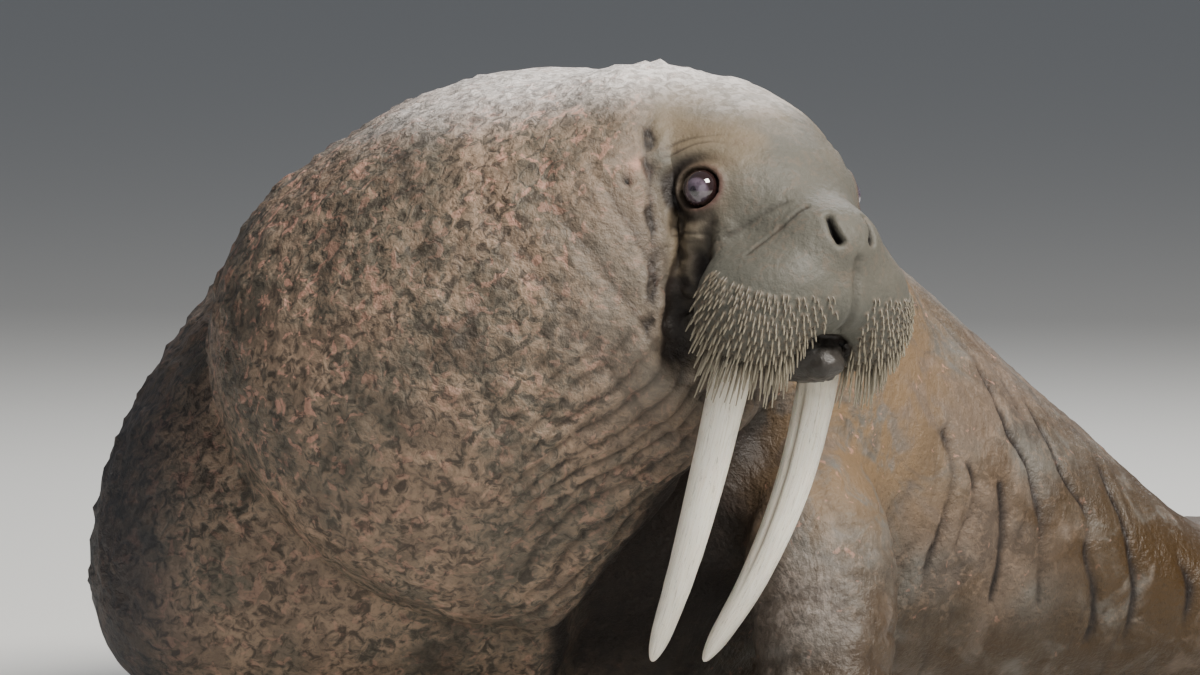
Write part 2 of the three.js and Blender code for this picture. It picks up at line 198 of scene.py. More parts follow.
def off_head(p):
    """How far points of the head's frame are outside its melted forms."""
    outside = np.full(len(p), FAR_OFF)
    for at, half in HEAD_FORMS:
        for way in (1, -1) if at[1] else (1,):
            q = p - np.array(at) * (1, way, 1)
            near = np.linalg.norm(q / half, axis=1)
            steep = np.linalg.norm(q / np.array(half) ** 2, axis=1) + 1e-9
            one = near * (near - 1) / steep
            shared = np.maximum(HEAD_MELT - abs(outside - one), 0) / HEAD_MELT
            outside = np.minimum(outside, one) - shared**2 * HEAD_MELT / 4
    return outside


def downhill(p):
    """The way straight out of the head's forms."""
    step = 5e-4
    slope = np.stack([off_head(p + d) - off_head(p - d) for d in np.eye(3) * step], axis=1)
    return slope / (np.linalg.norm(slope, axis=1)[:, None] + 1e-9)


def onto_head(p):
    """Points moved to the surface of the head's forms."""
    for _ in range(4):
        p = p - downhill(p) * off_head(p)[:, None]
    return p


def reach_out(start, ways, furthest, halvings):
    """How far the surface of the head's forms is from a place inside them, each way."""
    near, far = np.zeros(len(ways)), np.full(len(ways), furthest)
    for _ in range(halvings):
        half_way = (near + far) / 2
        inside = off_head(start + ways * half_way[:, None]) < 0
        near, far = np.where(inside, half_way, near), np.where(inside, far, half_way)
    return near


bm = bmesh.new()
limb(bm, TRUNK, 140, 110, (0.24, 0.09), floor=0, edge=0.96)
limb(bm, NECK, 110, 70, (0.3, 0.2))
chin = limb(bm, CHIN, 40, 30, (0.3, 0.35))
move(chin, from_head([v.co for v in chin]))
skull = bmesh.ops.create_icosphere(bm, subdivisions=6, radius=1)["verts"]
ways = np.array([v.co for v in skull])
distance = reach_out(HEAD_MIDDLE, ways, HEAD_REACH, 26)
move(skull, from_head(HEAD_MIDDLE + ways * distance[:, None]))
for name in LIMBS + ["tail"]:
    before = set(bm.verts)
    bm.from_mesh(frame["nodes"][name].data)
    copied = [v for v in bm.verts if v not in before]
    bmesh.ops.remove_doubles(bm, verts=copied, dist=1e-5)
bm.normal_update()
bmesh.ops.triangulate(bm, faces=bm.faces)
forms = bpy.data.meshes.new("hide_forms")
bm.to_mesh(forms)
bm.free()

melt = bpy.data.objects.new("hide_forms", forms)
bpy.context.scene.collection.objects.link(melt)
remesh = melt.modifiers.new("melt", "REMESH")
remesh.mode = "VOXEL"
remesh.voxel_size = GRAIN
melted = melt.evaluated_get(bpy.context.evaluated_depsgraph_get())
bm = bmesh.new()
bm.from_mesh(melted.to_mesh())
bpy.data.objects.remove(melt)


def places(bm):
    return np.array([v.co for v in bm.verts])


def neighbours(bm):
    bm.verts.index_update()
    return np.array([(e.verts[0].index, e.verts[1].index) for e in bm.edges])


def ease(p, pairs, share, times):
    """Moves each point by its share towards the middle of its neighbours."""
    a, b = pairs.T
    count = np.bincount(np.concatenate((a, b)), minlength=len(p))[:, None]
    for _ in range(times):
        middle = np.stack([
            np.bincount(a, p[b, k], len(p)) + np.bincount(b, p[a, k], len(p)) for k in range(3)
        ], axis=1) / count
        p = p + (middle - p) * share[:, None]
    return p


def from_form(p, stations, lift=(0, 0, 1)):
    """Each point's run along a limb, its turn round it, how many radii off, and the radius."""
    middles, halves = zip(*stations)
    t = np.linspace(0, 1, 240)
    line = through(middles, t)
    along, side, top = sides(middles, t, lift)
    stride = 6
    best = np.argmin(((p[:, None, :] - line[None, ::stride]) ** 2).sum(2), axis=1) * stride
    for stride in (3, 1):
        tries = np.clip(best[:, None] + np.arange(-2, 3) * stride, 0, len(t) - 1)
        off = ((p[:, None, :] - line[tries]) ** 2).sum(2)
        best = tries[np.arange(len(p)), np.argmin(off, axis=1)]
    d = p - line[best]
    size = through(halves, t)[best]
    s, u = (d * side[best]).sum(1), (d * top[best]).sum(1)
    run = np.concatenate(([0], np.cumsum(np.linalg.norm(np.diff(line, axis=0), axis=1))))[best]
    run = run + (d * along[best]).sum(1)
    ring = np.hypot(s / size[:, 0], u / np.where(u > 0, size[:, 1], size[:, 2]))
    return run, np.arctan2(u, s), ring, size.mean(1)


def soft(x, low, high):
    """0 below low, 1 above high, and smooth in between."""
    w = np.clip((x - low) / (high - low), 0, 1)
    return w * w * (3 - 2 * w)


def bell(x, middle, width):
    """1 where x is the middle, and falling smoothly to 0 within about two widths."""
    return np.exp(-(((x - middle) / width) ** 2))


def waves(x, spacing):
    """1, down to 0 and back again once in each spacing."""
    return 0.5 + 0.5 * np.cos(x * 2 * math.pi / spacing)


def mottle(p, size, seed):
    """Smooth random numbers, about -1 to 1, in blobs of a given size."""
    cells, contrast = 32, 1.7
    table = np.random.default_rng(seed).uniform(-1, 1, (cells, cells, cells))
    q = np.asarray(p) / size
    cell = np.floor(q).astype(int)
    w = q - cell
    w = w * w * (3 - 2 * w)
    total = np.zeros(len(q))
    for corner in np.ndindex(2, 2, 2):
        share = np.prod(np.where(corner, w, 1 - w), axis=1)
        i, j, k = ((cell + corner) % cells).T
        total += share * table[i, j, k]
    return total * contrast


def near_line(p, line):
    """Distance from points to a smooth line through a few places."""
    line = through(line, np.linspace(0, 1, 8 * len(line)))
    best = np.full(len(p), FAR_OFF)
    for a, b in zip(line, line[1:]):
        w = np.clip(((p - a) @ (b - a)) / ((b - a) @ (b - a)), 0, 1)
        best = np.minimum(best, np.linalg.norm(p - a - w[:, None] * (b - a), axis=1))
    return best


def within(p, name, margin):
    """Whether points are inside a node's box, or no further than a margin from it."""
    low, high = (np.array(corner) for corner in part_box(name))
    return ((p > low - margin) & (p < high + margin)).all(1)


# Where two forms meet, the flesh is eased into one, most where the neck leaves the shoulders
# and at the nape. The cut between throat and arm stays deeper, and the face keeps its shape.
p = places(bm)
head = in_head(p)
off = off_head(head)
trunk_ring, neck_ring = from_form(p, TRUNK)[2], from_form(p, NECK)[2]
throat_cut = soft(p[:, 2], 0.62, 0.5) * soft(p[:, 1], -0.18, -0.28)
meeting = bell(trunk_ring, 1, 0.16) * bell(neck_ring, 1, 0.16) * (1 - 0.75 * throat_cut)
nape = bell(off, 0, 0.03) * bell(neck_ring, 1, 0.2) * soft(head[:, 0], 0.02, -0.03)
limb_root = np.zeros(len(p))
for name in LIMBS + ["tail"]:
    inside = within(p, name, 0.03)
    limb_root = np.maximum(limb_root, inside * np.maximum(bell(trunk_ring, 1, 0.22), 0.10))
share = np.clip(0.04 + 0.62 * meeting + 0.62 * nape + 0.5 * limb_root, 0, 0.66)
share *= np.where(off < 0.004, soft(head[:, 0], 0.05, -0.03), 1)
p = ease(p, neighbours(bm), share, 75)
p[:, 2] = np.maximum(p[:, 2], 0)
move(bm.verts, p)

# The face is cut finer, and finer again round the eyes, nostrils, lips and bristles, and is
# then laid back on the head's own forms before its lids, nostrils and creases are pressed in.
EYE_AT = in_head(np.mean([np.array(corner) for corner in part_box("eye_left")], axis=0))
EYE_AT = EYE_AT + (-0.007, 0.007, 0.001)
NOSTRIL_AT = onto_head(np.array(((0.1710, 0.0260, 0.0350),)))[0]
EYE_ZONE, NOSTRIL_ZONE = 0.056, 0.030


def finer(bm, wanted):
    """Cuts in two every edge that has both its ends wanted."""
    edges = [e for e in bm.edges if wanted[e.verts[0].index] and wanted[e.verts[1].index]]
    bmesh.ops.subdivide_edges(bm, edges=edges, cuts=1, use_grid_fill=True)
    bm.verts.index_update()


def face_zone(head):
    return (head[:, 0] > -0.060) & (off_head(head) < 0.008) & (head[:, 2] > -0.19)


def detail_zone(head):
    both = mirrored(head)
    eye = np.linalg.norm(both - EYE_AT, axis=1) < EYE_ZONE
    nose = np.linalg.norm(both - NOSTRIL_AT, axis=1) < NOSTRIL_ZONE
    muzzle = (head[:, 0] > 0.085) & (head[:, 2] < -0.035)
    return (eye | nose | muzzle) & face_zone(head)


finer(bm, face_zone(in_head(places(bm))))
finer(bm, detail_zone(in_head(places(bm))))
p = places(bm)
head = in_head(p)
chin_ring = from_form(head, CHIN)[2]
own = soft(head[:, 0], -0.06, -0.01) * soft(off_head(head), 0.007, 0.004) * soft(chin_ring, 1.0, 1.25)
p = p + (from_head(onto_head(head)) - p) * own[:, None]
p = ease(p, neighbours(bm), np.where(own > 0.5, 0.15, 0.45), 3)
move(bm.verts, p)
bm.normal_update()
out = np.array([v.normal for v in bm.verts])
skin_now = BVHTree.FromBMesh(bm)

# Where each kind of skin lies: the face, the lip, the mottled neck and chest, the smoother
# trunk and the flippers, each from 0 to 1.
x, y, z = p.T
head = in_head(p)
both = mirrored(head)
ahead = head[:, 0]
off = off_head(head)
lip = soft(chin_ring, 1.35, 1.05) * soft(off, -0.002, 0.003) * soft(ahead, 0.04, 0.10)
mine = np.maximum(soft(off, 0.03, 0.006) * soft(ahead, -0.17, -0.05), lip)
neck_run, neck_turn, neck_ring, _ = from_form(p, NECK)
trunk_run, trunk_turn, trunk_ring, _ = from_form(p, TRUNK)
on_neck = soft(trunk_ring - neck_ring, -0.10, 0.12) * (1 - mine)
on_trunk = (1 - on_neck) * (1 - mine)
chest = soft(x + 0.5 * y, 0.10, -0.20)
rough = np.maximum(on_neck, chest * (1 - mine))
flippers = np.zeros(len(p))
for name in LIMBS + ["tail"]:
    clear = soft(trunk_ring, 1.0, 1.12) * soft(neck_ring, 1.0, 1.1)
    flippers = np.maximum(flippers, within(p, name, 0.02) * clear)

depth = np.zeros(len(p))
crease_shade = np.zeros(len(p))
near_face = np.flatnonzero(np.linalg.norm(head - HEAD_MIDDLE, axis=1) < 0.26)


def fold(cut, deep, dark, where=slice(None)):
    """Sinks the skin where cut is, from 0 to 1, and notes how dark its painted shade is there."""
    depth[where] -= deep * cut
    crease_shade[where] = np.maximum(crease_shade[where], dark * cut)


def onto_skin(line):
    """A smooth line along the left side of the face, laid on the skin of the right side."""
    line = through(line, np.linspace(0, 1, 24)) * (1, -1, 1)
    laid = [skin_now.find_nearest(Vector(q))[0] for q in from_head(line)]
    return in_head(np.array(laid)) * (1, -1, 1)


# Eyes: the skin closes round the ball in thick lids, with a hollow before, and behind and below it
# a furrow painted dark as shade. A brow swells above, and two faint wrinkles ring it.
fore, aside, rise = (both - EYE_AT).T
from_eye = np.hypot(fore / 1.06, rise / 0.96)
by_eye = bell(aside, 0, 0.05) * soft(off, 0.02, 0.01)
angle = np.arctan2(rise, fore)
front, behind = 0.5 + 0.5 * np.cos(angle), 0.5 - 0.5 * np.cos(angle - 0.6)
cup = soft(from_eye, 0.0225, 0.0200) * by_eye
lid = bell(from_eye, 0.0250, 0.0040) * by_eye
brow = bell(from_eye, 0.0440, 0.0080) * by_eye * (0.35 + 0.65 * soft(rise, -0.02, 0.02))
hollow = bell(fore, 0.040, 0.020) * bell(rise, -0.002, 0.030) * by_eye
setting = bell(np.maximum(0, from_eye - 0.024), 0, 0.024) * by_eye * (1 - cup)
depth -= 0.020 * cup + 0.0040 * hollow
depth += lid * (0.0036 - 0.0016 * front) + 0.0025 * brow * (1 - 0.7 * front) + 0.0045 * setting
fold(bell(from_eye, 0.0335, 0.0080) * by_eye * behind, 0.0055, 0.85)
ragged = from_eye + 0.002 * mottle(head, 0.02, 3)
for ring, deep in ((0.0525, 0.0016), (0.0620, 0.0012)):
    fold(bell(ragged, ring, 0.0024) * by_eye * (0.25 + 0.75 * behind), deep, 0.6)

# Nostrils: a slit each, curved like a comma, with a low rim, and widest at its lower end.
COMMA = [
    (-0.014, 0.001, 0.008), (-0.004, 0.002, 0.003), (0.005, 0.001, -0.004), (0.011, -0.003, -0.011),
]
to_slit = np.full(len(p), FAR_OFF)
to_slit[near_face] = near_line(both[near_face], onto_skin([NOSTRIL_AT + q for q in COMMA]))
to_slit += 0.0022 * soft(both[:, 2] - NOSTRIL_AT[2], -0.008, 0.010)
depth += (0.0006 * bell(to_slit, 0.0120, 0.0050) - 0.0140 * bell(to_slit, 0, 0.0044)) * mine
nostril = soft(to_slit, 0.0056, 0.0034) * mine

# Creases of the muzzle and cheek, on both sides of the face: how wide, deep, dark with painted
# shade and uneven each is, and the places that it runs through. The widest are the hollow behind the pad.
CREASES = [
    (0.0028, 0.0015, 0.45, 0.001, [
        (0.126, 0.034, 0.036), (0.125, 0.052, 0.019), (0.123, 0.070, -0.003), (0.125, 0.096, -0.022)]),
    (0.0032, 0.0015, 0.40, 0.001, [(0.104, 0.046, 0.037), (0.094, 0.069, 0.014), (0.077, 0.088, -0.022)]),
    (0.0085, 0.0045, 0.55, 0.0025, [(0.050, 0.090, -0.016), (0.058, 0.098, -0.048), (0.066, 0.104, -0.075)]),
    (0.0190, 0.0150, 1.0, 0.002, [
        (0.060, 0.100, -0.060), (0.070, 0.110, -0.092), (0.066, 0.106, -0.125), (0.058, 0.100, -0.160)]),
    (0.0170, 0.0060, 1.0, 0.003, [(0.046, 0.112, -0.090), (0.054, 0.116, -0.130), (0.058, 0.108, -0.165)]),
    (0.0085, 0.0040, 0.62, 0.003, [
        (0.018, 0.106, -0.030), (0.030, 0.112, -0.060), (0.044, 0.117, -0.095), (0.059, 0.122, -0.139)]),
    (0.0034, 0.0028, 0.35, 0.003, [(0.000, 0.116, -0.028), (0.028, 0.130, -0.072), (0.050, 0.134, -0.125)]),
    (0.0060, 0.0045, 0.75, 0.004, [
        (-0.069, 0.120, 0.057), (-0.026, 0.139, 0.015), (0.011, 0.142, -0.041),
        (0.040, 0.146, -0.100), (0.058, 0.147, -0.152)]),
    (0.0045, 0.0030, 0.30, 0.0, [
        (0.186, 0.000, 0.004), (0.206, 0.000, -0.030), (0.208, 0.000, -0.060), (0.200, 0.000, -0.090)]),
]
uneven = mottle(head[near_face], 0.012, 5)
here = soft(ahead[near_face], -0.12, -0.06)
for width, deep, dark, wobble, line in CREASES:
    away = near_line(both[near_face], onto_skin(line)) + wobble * uneven
    fold(bell(away, 0, width) * here, deep, dark, near_face)
    depth[near_face] += 0.35 * deep * bell(away, 2.1 * width, 1.3 * width) * here
fold(bell(off, 0, 0.0035) * bell(chin_ring, 1, 0.16) * soft(ahead, 0.03, 0.06), 0.0060, 1.0)

# Bristles are rooted in the whisker pads in rows that follow the pad's curve. A root is its
# place on the skin, the way out of the pad there, how far down and out it is, and its luck.
PAD_AT, PAD_REACH, ROWS, COLUMNS = np.array((0.132, 0.058, -0.072)), 0.12, 13, 20
bristle_roots = []
picks = np.random.default_rng(17)
for row in range(ROWS):
    for column in range(COLUMNS):
        down, outer = row / (ROWS - 1), (column + 0.5 * (row % 2)) / COLUMNS
        turn = math.radians(-24 + 142 * outer + 2.2 * picks.uniform(-1, 1))
        drop = math.radians(25 - 82 * down - 10 * outer**2 * (1 - down) + 1.6 * picks.uniform(-1, 1))
        way = (math.cos(turn) * math.cos(drop), math.sin(turn) * math.cos(drop), math.sin(drop))
        way = np.array(way)
        root = PAD_AT + way * reach_out(PAD_AT, way[None], PAD_REACH, 18)
        if abs(root[1]) > 0.007 and root[2] < -0.028:
            for side in (1, -1):
                mirror = (1, side, 1)
                bristle_roots.append((root * mirror, way * mirror, down, outer, picks.uniform(0, 1)))
spots = np.array([root[0] for root in bristle_roots])
pad = soft(both[:, 0], 0.075, 0.105) * soft(both[:, 2], -0.020, -0.050)
pad *= soft(off, 0.01, 0.002) * (1 - lip)
on_pad = np.flatnonzero(pad > 0.05)
nearest = np.full(len(p), FAR_OFF)
for chunk in np.array_split(on_pad, 1 + len(on_pad) // 4000):
    nearest[chunk] = np.sqrt(((head[chunk][:, None] - spots[None]) ** 2).sum(2).min(1))
root_bump = bell(nearest, 0, 0.0028) * pad
depth += 0.0016 * root_bump - 0.0006 * pad

# The ear is no more than a small hole with a soft rim, on the neck behind each eye, in a
# patch of bare pink skin.
EAR_AT = np.array((-0.027, 0.163, 0.001))
ear = np.zeros(len(p))
for side in (1, -1):
    hole_at = np.array(skin_now.find_nearest(Vector(from_head(EAR_AT * (1, side, 1))))[0])
    away = np.linalg.norm(p - hole_at, axis=1)
    depth += 0.0022 * bell(away, 0.0130, 0.0055) - 0.010 * bell(away, 0, 0.0055)
    from_patch = np.linalg.norm(p - hole_at - (0.008, 0, 0.016), axis=1)
    ear = np.maximum(ear, soft(from_patch + 0.008 * mottle(p, 0.012, 9), 0.018, 0.007))
    nostril = np.maximum(nostril, soft(away, 0.0080, 0.0045))

# The neck is covered in low lumps, with slack folds under the throat and behind the cheek.
lumps = np.maximum(0, mottle(p, 0.016, 11)) ** 1.3 + 0.5 * np.maximum(0, mottle(p, 0.034, 12))
lumpy = rough * (1 - flippers) * soft(z, 0.08, 0.20)
depth += (0.0028 * lumps - 0.0008) * lumpy
wave = 0.020 * mottle(p, 0.14, 21) + 0.006 * mottle(p, 0.05, 22)
throat = on_neck * soft(z, 0.56, 0.46) * soft(x, -0.20, 0.0)
fold(throat * waves(neck_turn * NECK_RADIUS + wave, 0.024) ** 3, 0.0040, 0.55)
jowl = on_neck * soft(neck_run, 0.40, 0.52) * soft(z, 0.74, 0.62)
fold(jowl * waves(neck_run + 0.9 * wave, 0.050) ** 6, 0.0045, 0.45)
far_side = rough * soft(x, -0.36, -0.46) * soft(y, 0.0, -0.2)
fold(far_side * waves(trunk_run + wave, 0.060) ** 6, 0.0022, 0.2)

# Beside the arm the throat is drawn in deeply, under a slack fold from the chin to the chest.
FOLD_Z, FOLD_X = (0.080, 0.209, 0.300, 0.418), (-0.016, 0.012, 0.096, 0.222)
beside = 0.75 * (x - np.interp(z, FOLD_Z, FOLD_X)) + 0.010 * mottle(p, 0.08, 24)
front_low = soft(y, -0.10, -0.25) * (1 - mine) * (1 - flippers) * soft(x, 0.28, 0.22)
# gap marks the cut between throat and arm, which is later painted nearly black as shade.
gap = soft(beside, -0.004, 0.036) * soft(z, 0.43, 0.36) * front_low
depth -= 0.045 * gap
depth += 0.012 * bell(beside, -0.030, 0.022) * soft(z, 0.45, 0.38) * front_low
fold(bell(beside, 0, 0.016) * soft(z, 0.46, 0.40) * front_low, 0, 0.9)

# The flank falls in long folds round the trunk, deepest low down and towards the hip, with
# finer wrinkles between them.
wave = 0.050 * mottle(p, 0.34, 31) + 0.014 * mottle(p, 0.10, 32) + 0.035 * np.sin(trunk_turn * 1.3)
folds = waves(trunk_run + wave, 0.078)
height_round = np.sin(trunk_turn)
flank = on_trunk * (1 - 0.6 * chest) * (1 - flippers) * soft(height_round, 0.985, 0.45)
flank *= soft(trunk_run, 0.40, 0.75) * soft(trunk_run, 1.98, 1.7)
flank *= np.clip(0.65 + 0.55 * mottle(p, 0.17, 33), 0.1, 1.2)
flank *= 1 - 0.8 * soft(np.cos(trunk_turn), 0.15, 0.55) * soft(x, 0.86, 0.70)
depth += 0.0030 * flank * (1 - folds) - 0.0080 * flank * folds**10
fold(np.clip(flank, 0, 1) * folds**10, 0, 0.85)
fine = waves(trunk_run + 1.4 * wave, 0.031) ** 6
fine *= on_trunk * (1 - flippers) * soft(x, 0.28, 0.36) * soft(height_round, 0.99, 0.7)
fold(fine * np.clip(0.5 + 0.9 * mottle(p, 0.06, 37), 0, 1), 0.0016, 0.40)

# The long folds of the left flank hang one beside the other, from the back to the floor.
LEFT_FOLDS = [
    [(0.471, 0.001, 0.418), (0.497, -0.020, 0.367), (0.514, -0.032, 0.324),
     (0.542, -0.039, 0.244), (0.543, -0.040, 0.203), (0.538, -0.028, 0.144)],
    [(0.529, 0.042, 0.370), (0.564, 0.005, 0.298), (0.591, 0.005, 0.228),
     (0.599, 0.000, 0.199), (0.602, 0.009, 0.141), (0.595, 0.026, 0.096)],
    [(0.607, 0.087, 0.308), (0.625, 0.054, 0.268), (0.651, 0.036, 0.196), (0.652, 0.035, 0.150),
     (0.647, 0.059, 0.083)],
    [(0.686, 0.127, 0.240), (0.703, 0.084, 0.197), (0.718, 0.072, 0.158), (0.715, 0.075, 0.090)],
    [(0.448, -0.103, 0.307), (0.457, -0.090, 0.266), (0.439, -0.100, 0.224), (0.431, -0.094, 0.191)],
    [(0.489, -0.071, 0.287), (0.494, -0.073, 0.241), (0.489, -0.069, 0.192), (0.479, -0.059, 0.153)],
    [(0.420, -0.110, 0.350), (0.428, -0.112, 0.290), (0.415, -0.120, 0.230), (0.400, -0.118, 0.160)],
]
near_flank = np.flatnonzero((on_trunk > 0.3) & (x > 0.30) & (x < 0.80) & (y < 0.20))
q = p[near_flank] + 0.004 * mottle(p[near_flank], 0.05, 35)[:, None]
for line in LEFT_FOLDS:
    away = near_line(q, np.array(line))
    fold(bell(away, 0, 0.0052), 0.0056, 0.85, near_flank)
    depth[near_flank] += 0.0022 * bell(away, 0.020, 0.014)

# Creases spread up from the armpit, and others ring the elbow.
ARMPIT = np.array((0.345, -0.255, 0.185))
d = p - ARMPIT
reach = np.linalg.norm(d, axis=1)
spread = np.arctan2(d[:, 2], d[:, 0]) + 0.14 * mottle(p, 0.10, 41)
spokes = (0.5 + 0.5 * np.cos(spread * 10)) ** 9 * soft(reach, 0.34, 0.14) * soft(reach, 0.0, 0.05)
fold(spokes * soft(y, -0.02, -0.14) * (1 - on_neck) * (1 - mine), 0.0022, 0.35)
rings = waves(z + 0.014 * mottle(p, 0.07, 43), 0.040) ** 7
fold(rings * flippers * soft(z, 0.06, 0.10) * soft(z, 0.36, 0.24), 0.0020, 0.3)

# Fine wrinkles lie all over, deepest on the hands. Nothing moves where the skin is grounded.
depth += 0.0014 * mottle(p, 0.007, 52) * lip
depth += 0.0009 * mottle(p, 0.012, 51) * (0.25 + 0.6 * on_trunk + 0.5 * flippers)
p = p + out * (depth * soft(z, 0.004, 0.030))[:, None]
p[:, 2] = np.maximum(p[:, 2], 0)
move(bm.verts, p)
hide_mesh = bpy.data.meshes.new("hide_cut")
bm.to_mesh(hide_mesh)
bm.free()

# What the skin shows where is kept on its points, for its finish to read.
x, y, z = p.T
head = in_head(p)
ahead = head[:, 0]
# The elbow's bulge gets a painted highlight, mixed in with the pale tops.
elbow = bell(np.linalg.norm((p - (0.250, -0.370, 0.150)) * (1, 1, 0.6), axis=1), 0, 0.065)
by_arm = bell(x, 0.335, 0.055) * bell(z, 0.13, 0.10) * soft(y, 0.1, -0.1) * (1 - elbow)
wet = on_trunk * soft(x, 0.44, 0.66) * soft(z, 0.46, 0.20) * (1 - flippers)
wet = np.maximum(wet, np.maximum(by_arm, on_trunk * soft(z, 0.17, 0.08) * soft(x, 0.1, 0.3)))
rosy = 0.35 + 0.65 * bell(x, -0.31, 0.09) * soft(z, 0.20, 0.45)
rosy += 0.6 * bell(x, -0.03, 0.08) * soft(z, 0.50, 0.60)
rosy += 0.9 * bell(x, 0.06, 0.05) * soft(z, 0.36, 0.52)
# Tops that face up are painted pale: partly dry skin, partly a painted highlight from above.
dry_and_highlit = soft(out[:, 2], 0.66, 0.98) * soft(z, 0.66, 0.78) * (1 - 0.5 * mine)
calm = soft(np.linalg.norm(head - HEAD_MIDDLE, axis=1), 0.15, 0.31)
for name, values in {
    "face": mine,
    "lip": lip,
    "pad": pad,
    "roots": root_bump,
    "ear": ear,
    "gap": gap,
    "crease_shade": crease_shade,
    "hole_shade": np.maximum(cup, nostril),
    "lids": bell(from_eye, 0.0240, 0.0038) * by_eye * (0.25 + 0.75 * front),
    "socket": bell(from_eye, 0.0300, 0.0100) * by_eye * behind,
    "tan": soft(ahead, 0.085, 0.02) * mine,
    "calm": 1 - calm,
    "rough": rough * (0.2 + 0.8 * calm),
    "rosy": rosy,
    "shaded": rough * soft(x, -0.38, -0.50),
    "dry_and_highlit": np.maximum(dry_and_highlit, 0.26 * elbow),
    "ochre": on_trunk * soft(x, 0.50, 0.36) * soft(z, 0.20, 0.32) * soft(y, 0.10, -0.05),
    "wet": wet,
    "flipper": flippers * soft(z, 0.24, 0.10),
}.items():
    kept = hide_mesh.attributes.new(name, "FLOAT", "POINT")
    kept.data.foreach_set("value", values.astype(np.float32))
neck_lie = np.stack((neck_run, neck_turn * NECK_RADIUS), 1)
trunk_lie = np.stack((trunk_run, trunk_turn * TRUNK_RADIUS), 1)
lie = np.where((on_neck > 0.5)[:, None], neck_lie, trunk_lie)
lie = np.concatenate((lie, on_neck[:, None]), axis=1)
kept = hide_mesh.attributes.new("lie", "FLOAT_VECTOR", "POINT")
kept.data.foreach_set("vector", lie.astype(np.float32).ravel())

# Only the neck, trunk and limbs are thinned; the face keeps every face that it has.
MOST_TRIANGLES = 188000
thick = bpy.data.objects.new("hide_thick", hide_mesh)
bpy.context.scene.collection.objects.link(thick)
may_thin = thick.vertex_groups.new(name="may_thin")
may_thin.add([int(i) for i in np.flatnonzero(mine < 0.4)], 1.0, "REPLACE")
thin = thick.modifiers.new("thin", "DECIMATE")
thin.vertex_group = "may_thin"
triangles = sum(len(f.vertices) - 2 for f in hide_mesh.polygons)
thin.ratio = min(1, MOST_TRIANGLES / triangles)
thin.use_collapse_triangulate = True
thinned = bpy.data.meshes.new_from_object(thick.evaluated_get(bpy.context.evaluated_depsgraph_get()))
bpy.data.objects.remove(thick)
hide = bpy.data.objects.new("hide", thinned)
bpy.context.scene.collection.objects.link(hide)
for face in thinned.polygons:
    face.use_smooth = True


class Value:
    """A shader socket to reckon with: each sum on it adds the Math node that does it."""

    def __init__(self, finish, socket):
        self.finish, self.socket = finish, socket

    def sum(self, operation, first, second):
        return self.finish.node("ShaderNodeMath", {"operation": operation}, {0: first, 1: second})

    def __add__(self, other):
        return self.sum("ADD", self, other)

    def __sub__(self, other):
        return self.sum("SUBTRACT", self, other)

    def __rsub__(self, other):
        return self.sum("SUBTRACT", other, self)

    def __mul__(self, other):
        return self.sum("MULTIPLY", self, other)

    __radd__, __rmul__ = __add__, __mul__

    def between(self, low, high):
        """0 at low, 1 at high, smooth between."""
        sockets = {"Value": self, "From Min": low, "From Max": high}
        return self.finish.node("ShaderNodeMapRange", {"interpolation_type": "SMOOTHSTEP"}, sockets)


class Finish:
    """A material, made node by node, that ends in one Principled shader."""

    def __init__(self, name, **fixed):
        self.material = bpy.data.materials.new(name)
        self.material.use_nodes = True
        self.tree = self.material.node_tree
        self.shader = self.tree.nodes["Principled BSDF"]
        self.set(**fixed)
        self.place = self.node("ShaderNodeTexCoord", {}, {}, "Object")

    def set(self, **sockets):
        for name, value in sockets.items():
            self.plug(self.shader.inputs[name.replace("_", " ")], value)

    def plug(self, socket, value):
        if isinstance(value, Value):
            self.tree.links.new(value.socket, socket)
        elif socket.type == "RGBA":
            socket.default_value = (*value, 1)
        else:
            socket.default_value = value

    def node(self, kind, settings, sockets, out=0):
        made = self.tree.nodes.new(kind)
        for name, value in settings.items():
            setattr(made, name, value)
        for name, value in sockets.items():
            self.plug(made.inputs[name], value)
        return Value(self, made.outputs[out])

    def painted(self, name, out="Fac"):
        return self.node("ShaderNodeAttribute", {"attribute_name": name}, {}, out)

    def noise(self, scale, detail=3, rough=0.5, bend=0.0, at=None):
        sockets = {"Vector": at or self.place, "Scale": scale, "Detail": detail, "Roughness": rough}
        return self.node("ShaderNodeTexNoise", {}, {**sockets, "Distortion": bend})

    def pebbles(self, scale):
        sockets = {"Vector": self.place, "Scale": scale}
        return self.node("ShaderNodeTexVoronoi", {"feature": "SMOOTH_F1"}, sockets, "Distance")

    def stretch(self, vector, by):
        return self.node("ShaderNodeVectorMath", {"operation": "MULTIPLY"}, {0: vector, 1: by})

    def mix(self, share, one, other):
        """one where share is 0, other where it is 1, as colours."""
        return self.node("ShaderNodeMix", {"data_type": "RGBA"}, {"Factor": share, 6: one, 7: other}, 2)

    def bump(self, height, distance, strength):
        sockets = {"Height": height, "Distance": distance, "Strength": strength}
        self.set(Normal=self.node("ShaderNodeBump", {}, sockets))


